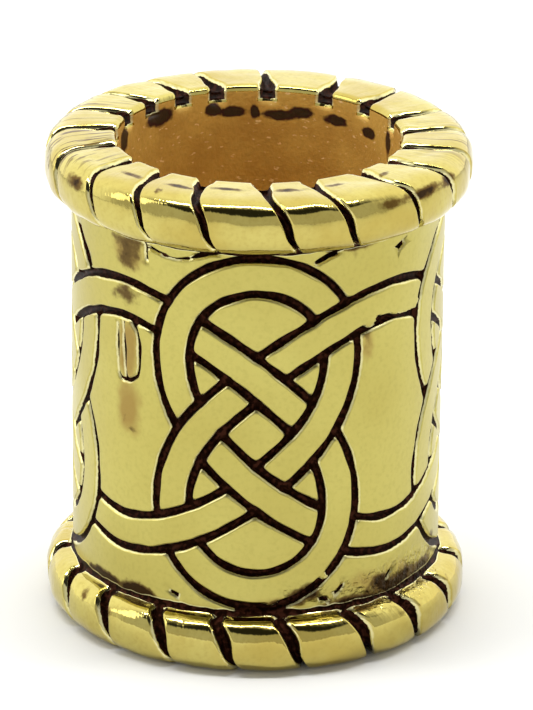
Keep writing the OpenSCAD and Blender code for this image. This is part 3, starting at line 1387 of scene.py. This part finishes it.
@dataclass(frozen=True)
class Patina:
    """What age, wash and wear do to the brass, with painted shade among the dark patches and a painted
    highlight on the grooves' lips. Sizes are in metres.
    """

    cloud_size: float = 0.0006
    warm: Colour = (0.30, 0.19, 0.05)
    warm_ragged: float = 0.5
    warm_shows: Limits = (0.38, 0.75)
    warm_part: float = 0.85
    dark_patch_size: float = 0.0003
    # The dark patches hold tarnished spots and painted shade
    dark_patch_ragged: float = 1.1
    dark_patch_shows: Limits = (0.4, 0.85)
    core: Colour = (0.035, 0.018, 0.006)
    core_shows: Limits = (0.85, 1.1)
    dark_patch_roughness: float = 0.45
    nick_size: float = 0.00014
    nick_ragged: float = 0.16
    # Painted highlight on the grooves' lips: worn edges painted pale where they would catch the light
    lip_highlight: Colour = (0.78, 0.73, 0.40)
    lip_highlight_shows: Limits = (0.28, 0.4)
    lip_highlight_part: float = 0.75
    wash: Colour = (0.012, 0.004, 0.002)
    wash_brown: Colour = (0.05, 0.016, 0.009)
    wash_shows: Limits = (0.445, 0.48)
    brown_shows: Limits = (0.45, 0.62)
    wash_roughness: float = 0.6

    def stain(
        self, bench: NodeBench, place: Socket, colour: Socket, tarnish: Colour
    ) -> tuple[Socket, Socket]:
        """Lays the warm tints, the tarnished patches and the painted shade over the metal.

        Args:
            bench: The material's nodes.
            place: Object coordinates.
            colour: The metal's colour.
            tarnish: Colour of the tarnished patches and of the painted shade.

        Returns:
            The new colour, and the part of the surface that is darkened by tarnished patches and
            painted shade.
        """
        cloud = bench.noise(place, self.cloud_size, detail=6.0)
        warm = bench.ramp(bench.ragged(Mask.WARM, cloud, self.warm_ragged), *self.warm_shows)
        colour = bench.mix(bench.maths("MULTIPLY", warm, self.warm_part), colour, self.warm)
        blots = bench.noise(place, self.dark_patch_size, detail=6.0)
        reach = bench.ragged(Mask.DARK_PATCHES, blots, self.dark_patch_ragged)
        darkened = bench.ramp(reach, *self.dark_patch_shows)
        colour = bench.mix(darkened, colour, tarnish)
        return bench.mix(bench.ramp(reach, *self.core_shows), colour, self.core), darkened

    def fill_grooves(
        self, bench: NodeBench, place: Socket, colour: Socket
    ) -> tuple[Socket, Socket]:
        """Paints a highlight along the grooves' lips and fills the grooves with dark wash.

        Args:
            bench: The material's nodes.
            place: Object coordinates.
            colour: The surface's colour.

        Returns:
            The new colour, and the part of the surface that is washed.
        """
        nick = bench.noise(place, self.nick_size, detail=3.0)
        reach = bench.ragged(Mask.GROOVE, nick, self.nick_ragged)
        # Painted highlight along the lips, then the wash in the grooves
        lip = bench.maths("MULTIPLY", bench.ramp(reach, *self.lip_highlight_shows), self.lip_highlight_part)
        colour = bench.mix(lip, colour, self.lip_highlight)
        washed = bench.ramp(reach, *self.wash_shows)
        wash = bench.mix(bench.ramp(nick, *self.brown_shows), self.wash, self.wash_brown)
        return bench.mix(washed, colour, wash), washed


PATINA = Patina()


@dataclass(frozen=True)
class BrassFinish:
    """Gold-coloured brass: clean metal, deeper tint, colour of the tarnished and painted-shade
    patches, and how it shines.
    """

    name: str
    clean: Colour
    deep: Colour
    tarnish: Colour
    roughness: float
    bump: float
    bump_size: float
    tint_size: float = 0.0035
    tint_shows: Limits = (0.35, 0.7)
    metallic: float = 1.0
    roughness_spread: Limits = (0.8, 1.25)
    grain_size: float = 0.00013
    grain_shows: Limits = (0.4, 0.8)
    grain_part: float = 0.35
    grain_shade: float = 0.8
    speckle: float = 0.0
    speckle_shape: Place = (0.5, 0.5, 1.0)
    speckle_shows: Limits = (0.65, 0.73)
    speckle_tint: Colour = (0.95, 0.68, 0.30)
    wear_lines: float = 0.0
    wear_shows: Limits = (0.56, 0.62)
    line_size: float = 0.0002
    strand_width: float = 0.0014
    line_drift: Place = (0.25, 0.25, 0.25)
    wave_height: float = 0.00003
    pit_size: float = 0.00022
    pit_shows: Limits = (0.35, 0.6)
    pit_depth: float = 0.0001

    def material(self) -> bpy.types.Material:
        """Makes the finish's material.

        Returns:
            A material that reads Object coordinates and the casting's attributes.
        """
        made = bpy.data.materials.new(self.name)
        made.use_nodes = True
        bench = NodeBench(made.node_tree)
        shader = bench.tree.nodes["Principled BSDF"].inputs
        shader["Metallic"].default_value = self.metallic
        place = bench.tree.nodes.new("ShaderNodeTexCoord").outputs["Object"]
        tint = bench.noise(place, self.tint_size, detail=4.0)
        colour = self.metal(bench, place, tint)
        # Warm tints, then the dark patches, with painted shade among them
        colour, darkened = PATINA.stain(bench, place, colour, self.tarnish)
        if self.wear_lines:
            lines = bench.ramp(self.lines_along(bench, place), *self.wear_shows)
            worn_thin = bench.maths("MULTIPLY", lines, bench.attribute(Mask.WEAR))
            colour = bench.mix(worn_thin, colour, self.tarnish)
        colour, washed = PATINA.fill_grooves(bench, place, colour)
        bench.feed(shader["Base Color"], colour)
        shine = bench.value_mix(tint, *(self.roughness * part for part in self.roughness_spread))
        shine = bench.value_mix(darkened, shine, PATINA.dark_patch_roughness)
        shine = bench.value_mix(washed, shine, PATINA.wash_roughness)
        bench.feed(shader["Roughness"], shine)
        bench.feed(shader["Normal"], self.relief(bench, place))
        return made

    def metal(self, bench: NodeBench, place: Socket, tint: Socket) -> Socket:
        """Colour of the clean metal.

        Args:
            bench: The material's nodes.
            place: Object coordinates.
            tint: Broad pattern between the clean and the deep tint.

        Returns:
            The colour, with its tint, fine grain and flecks.
        """
        colour = bench.mix(bench.ramp(tint, *self.tint_shows), self.clean, self.deep)
        grain = bench.ramp(bench.noise(place, self.grain_size, detail=2.0), *self.grain_shows)
        darker = tuple(self.grain_shade * channel for channel in self.deep)
        colour = bench.mix(bench.maths("MULTIPLY", grain, self.grain_part), colour, darker)
        if self.speckle:
            long = bench.vector_maths("MULTIPLY", place, self.speckle_shape)
            flecks = bench.ramp(bench.noise(long, self.speckle, detail=2.0), *self.speckle_shows)
            colour = bench.mix(flecks, colour, self.speckle_tint)
        return colour

    def relief(self, bench: NodeBench, place: Socket) -> Socket:
        """Fine waves, wear lines, and pits where the casting is rough.

        Args:
            bench: The material's nodes.
            place: Object coordinates.

        Returns:
            The surface's normal.
        """
        waves = bench.noise(place, self.bump_size, detail=3.0)
        normal = bench.bump(waves, self.bump, self.wave_height, None)
        pits = bench.ramp(bench.noise(place, self.pit_size, detail=3.0), *self.pit_shows)
        rough = bench.maths("MULTIPLY", bench.attribute(Mask.ROUGH), pits)
        normal = bench.bump(rough, 1.0, self.pit_depth, normal)
        if self.wear_lines:
            lines = self.lines_along(bench, place)
            normal = bench.bump(lines, self.wear_lines, self.wave_height, normal)
        return normal

    def lines_along(self, bench: NodeBench, place: Socket) -> Socket:
        """Pattern drawn out along the strands of a rope.

        Args:
            bench: The material's nodes.
            place: Object coordinates.

        Returns:
            The pattern's value.
        """
        across = bench.maths("MULTIPLY", bench.attribute(Mask.ACROSS), self.strand_width)
        aside = bench.node("ShaderNodeCombineXYZ", 0, {0: across})
        drift = bench.vector_maths("MULTIPLY", place, self.line_drift)
        return bench.noise(bench.vector_maths("ADD", aside, drift), self.line_size, detail=2.0)


WALL_FINISH = BrassFinish(
    name="antiqued_brass_wall",
    clean=(0.50, 0.44, 0.122),
    deep=(0.455, 0.39, 0.10),
    tarnish=(0.12, 0.075, 0.022),
    roughness=0.3,
    bump=0.25,
    bump_size=0.0003,
)
ROPE_FINISH = BrassFinish(
    name="polished_brass_rope",
    clean=(0.54, 0.462, 0.135),
    deep=(0.46, 0.36, 0.085),
    tarnish=(0.13, 0.075, 0.016),
    roughness=0.075,
    bump=0.5,
    bump_size=0.0007,
    tint_size=0.002,
    wear_lines=0.25,
)
# Painted light: the bore's brass is a lighter orange and less metallic than the rest, standing in for
# light bouncing into the hole
LIGHTENED_BORE_FINISH = BrassFinish(
    name="satin_brass_bore_lightened",
    clean=(0.72, 0.455, 0.096),
    deep=(0.58, 0.33, 0.06),
    tarnish=(0.035, 0.004, 0.004),
    roughness=0.5,
    bump=0.6,
    bump_size=0.00012,
    tint_size=0.0012,
    metallic=0.3,
    speckle=0.00012,
)


@dataclass
class CastBead:
    """The whole bead: one casting, with its wall, two rope rims and bore."""

    sizes: BeadSizes
    name: str = "bead_casting"
    bore_rows: int = 40
    mouth_room: float = 0.01
    upper_starts: tuple[float, ...] = (
        -20.6, 1.6, 19.2, 41.0, 58.3, 75.9, 93.4, 110.7, 131.8, 152.3,
        176.5, 197.3, 212.6, 229.9, 246.7, 265.1, 284.2, 303.5, 321.0,
    )
    lower_starts: tuple[float, ...] = (-38.8, -19.6, -1.1, 17.5, 38.2, 56.5)

    def build(self) -> bpy.types.Object:
        """Builds and dresses the casting.

        Returns:
            The finished object.
        """
        mesh = bmesh.new()
        for mask in Mask:
            mesh.verts.layers.float.new(mask.value)
        rims = (
            RopeRim.with_measured(self.sizes, RimEnd.LOWER, self.lower_starts),
            RopeRim.with_measured(self.sizes, RimEnd.UPPER, self.upper_starts),
        )
        feet = [rim.build(mesh) for rim in rims]
        wall = KnotWall(
            self.sizes, low=rims[0].foot_height, high=self.sizes.height - rims[1].foot_height
        )
        count = wall.build(mesh, feet)
        LOG.info("wall: %d faces", count)
        bmesh.ops.remove_doubles(mesh, verts=mesh.verts, dist=MERGE)
        self.add_bore(mesh)
        bmesh.ops.recalc_face_normals(mesh, faces=mesh.faces)
        open_edges = sum(1 for edge in mesh.edges if not edge.is_manifold)
        LOG.info("%s: %d faces, %d open edges", self.name, len(mesh.faces), open_edges)
        self.stain(mesh)
        bmesh.ops.scale(mesh, vec=(METRES,) * 3, verts=mesh.verts)
        data = bpy.data.meshes.new(self.name)
        mesh.to_mesh(data)
        mesh.free()
        data.shade_smooth()
        for finish in (WALL_FINISH, ROPE_FINISH, LIGHTENED_BORE_FINISH):
            data.materials.append(finish.material())
        made = bpy.data.objects.new(self.name, data)
        bpy.context.scene.collection.objects.link(made)
        return made

    def add_bore(self, mesh: bmesh.types.BMesh) -> None:
        """Bridges the two mouths with the wall of the hole.

        Args:
            mesh: The casting.
        """
        limit = self.sizes.bore_radius + self.mouth_room
        mouths = [
            edge for edge in mesh.edges
            if edge.is_boundary and all(v.co.xy.length < limit for v in edge.verts)
        ]
        bridge = bmesh.ops.bridge_loops(mesh, edges=mouths)
        long_edges = {
            edge for face in bridge["faces"] for edge in face.edges
            if abs(edge.verts[0].co.z - edge.verts[1].co.z) > self.sizes.middle
        }
        for face in bridge["faces"]:
            face.material_index = Skin.BORE.value
        bmesh.ops.subdivide_edges(
            mesh, edges=list(long_edges), cuts=self.bore_rows, use_grid_fill=True
        )

    def stain(self, mesh: bmesh.types.BMesh) -> None:
        """Writes the tarnished and painted-shade patches, the tints, rough casting and wear on to the
        casting.

        Args:
            mesh: The casting.
        """
        places = np.array([vert.co for vert in mesh.verts])
        azimuths = np.degrees(np.arctan2(places[:, 0], -places[:, 1]))
        rows = np.stack([azimuths, np.hypot(places[:, 0], places[:, 1]), places[:, 2]], 1)
        marks = {
            Mask.DARK_PATCHES: DARK_PATCHES + ROPE_PAINTED_SHADE_AND_SPOTS + BORE_PAINTED_SHADOW,
            Mask.WARM: WARM_TINTS,
            Mask.ROUGH: ROUGH_CAST,
            Mask.WEAR: WEAR,
        }
        for mask, stains in marks.items():
            layer = mesh.verts.layers.float[mask.value]
            for vert, strength in zip(mesh.verts, patches(stains, rows)):
                vert[layer] = strength


@dataclass(frozen=True)
class Softbox:
    """A rectangular lamp: its place and size in millimetres, and its power in watts."""

    name: str
    place: Place
    size: Pair
    energy: float


@dataclass(frozen=True)
class Studio:
    """Pale floor, soft lights and the camera of a small product photo."""

    middle: float
    distance: float = 149.57
    elevation: float = math.radians(22.07)
    roll: float = 0.0095
    pixels_per_mm: float = 35.0
    centre_pixel: Pair = (256.97, 364.79)
    image: tuple[int, int] = (533, 710)
    sensor: float = 36.0
    clip: Pair = (0.005, 10)
    floor_size: float = 3.0
    floor_tint: Colour = (0.77, 0.77, 0.765)
    floor_roughness: float = 0.8
    back_light: Colour = (1.7, 1.7, 1.66)
    front_light: Colour = (0.72, 0.72, 0.72)
    dark_light: Colour = (0.03, 0.03, 0.03)
    back_from: Limits = (-0.35, 0.35)
    dark_rise: Limits = (0.62, 0.72)
    dark_fall: Limits = (0.985, 0.96)
    lamps_face: Place = (0, 0, 0.007)
    lamps: tuple[Softbox, ...] = (
        Softbox("overhead_strip", (0, -12, 250), (260, 26), 0.46),
        Softbox("left_softbox", (-220, -40, 160), (90, 160), 0.1),
    )

    def build(self) -> None:
        """Makes the floor, the lights, the surroundings and the camera."""
        self.add_floor()
        self.add_world()
        for lamp in self.lamps:
            self.add_light(lamp)
        self.add_camera()

    def add_floor(self) -> None:
        """Lays a wide pale floor under the bead."""
        mesh = bmesh.new()
        bmesh.ops.create_grid(mesh, x_segments=1, y_segments=1, size=self.floor_size / 2)
        data = bpy.data.meshes.new("pale_floor")
        mesh.to_mesh(data)
        mesh.free()
        paper = bpy.data.materials.new("pale_paper")
        paper.use_nodes = True
        shader = paper.node_tree.nodes["Principled BSDF"]
        shader.inputs["Base Color"].default_value = (*self.floor_tint, 1)
        shader.inputs["Roughness"].default_value = self.floor_roughness
        data.materials.append(paper)
        floor = bpy.data.objects.new("pale_floor", data)
        bpy.context.scene.collection.objects.link(floor)

    def add_world(self) -> None:
        """Surrounds the bead with soft light: bright behind, dimmer in front with a dark band."""
        world = bpy.data.worlds.new("studio")
        world.use_nodes = True
        bench = NodeBench(world.node_tree)
        split = bench.tree.nodes.new("ShaderNodeSeparateXYZ")
        toward = bench.tree.nodes.new("ShaderNodeTexCoord").outputs["Generated"]
        bench.feed(split.inputs[0], toward)
        back = bench.ramp(split.outputs["Y"], *self.back_from)
        rise = bench.ramp(split.outputs["Z"], *self.dark_rise)
        fall = bench.ramp(split.outputs["Z"], *self.dark_fall)
        front = bench.mix(bench.maths("MULTIPLY", rise, fall), self.front_light, self.dark_light)
        shade = bench.mix(back, front, self.back_light)
        bench.feed(bench.tree.nodes["Background"].inputs["Color"], shade)
        bpy.context.scene.world = world

    def add_light(self, box: Softbox) -> None:
        """Hangs a softbox that faces the bead.

        Args:
            box: The softbox.
        """
        light = bpy.data.lights.new(box.name, "AREA")
        light.shape = "RECTANGLE"
        light.size, light.size_y = (side * METRES for side in box.size)
        light.energy = box.energy
        lamp = bpy.data.objects.new(box.name, light)
        lamp.location = Vector(box.place) * METRES
        facing = Vector(self.lamps_face) - lamp.location
        lamp.rotation_euler = facing.to_track_quat("-Z", "Y").to_euler()
        bpy.context.scene.collection.objects.link(lamp)

    def add_camera(self) -> None:
        """Places the camera where the photo was taken from."""
        tilt = self.elevation
        forward = Vector((0, math.cos(tilt), -math.sin(tilt)))
        right = Vector((1, 0, 0))
        up = Vector((0, math.sin(tilt), math.cos(tilt)))
        centre = Vector((0, 0, self.middle))
        eye = centre - self.distance * forward
        aside = (self.image[0] / 2 - self.centre_pixel[0]) / self.pixels_per_mm
        below = (self.centre_pixel[1] - self.image[1] / 2) / self.pixels_per_mm
        look = (centre + right * aside + up * below - eye).normalized()
        flat = look.cross(Vector((0, 0, 1))).normalized()
        rise = flat.cross(look)
        x_axis = flat * math.cos(self.roll) + rise * math.sin(self.roll)
        y_axis = rise * math.cos(self.roll) - flat * math.sin(self.roll)
        matrix = Matrix((x_axis, y_axis, -look)).transposed().to_4x4()
        matrix.translation = eye * METRES
        data = bpy.data.cameras.new("camera")
        data.sensor_width = self.sensor
        data.lens = self.pixels_per_mm * self.distance / self.image[1] * self.sensor
        data.clip_start, data.clip_end = self.clip
        camera = bpy.data.objects.new("camera", data)
        camera.matrix_world = matrix
        bpy.context.scene.collection.objects.link(camera)
        bpy.context.scene.camera = camera


def main() -> None:
    """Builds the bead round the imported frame."""
    logging.basicConfig(level=logging.INFO, format="%(name)s: %(message)s")
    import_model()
    sizes = BeadSizes.from_frame()
    bpy.context.scene.view_settings.view_transform = "Standard"
    Studio(middle=sizes.middle).build()
    bead = CastBead(sizes).build()
    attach(bead, "root")
    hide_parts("bead")
    LOG.info("%s rides on root", bead.name)


if __name__ == "__main__":
    main()
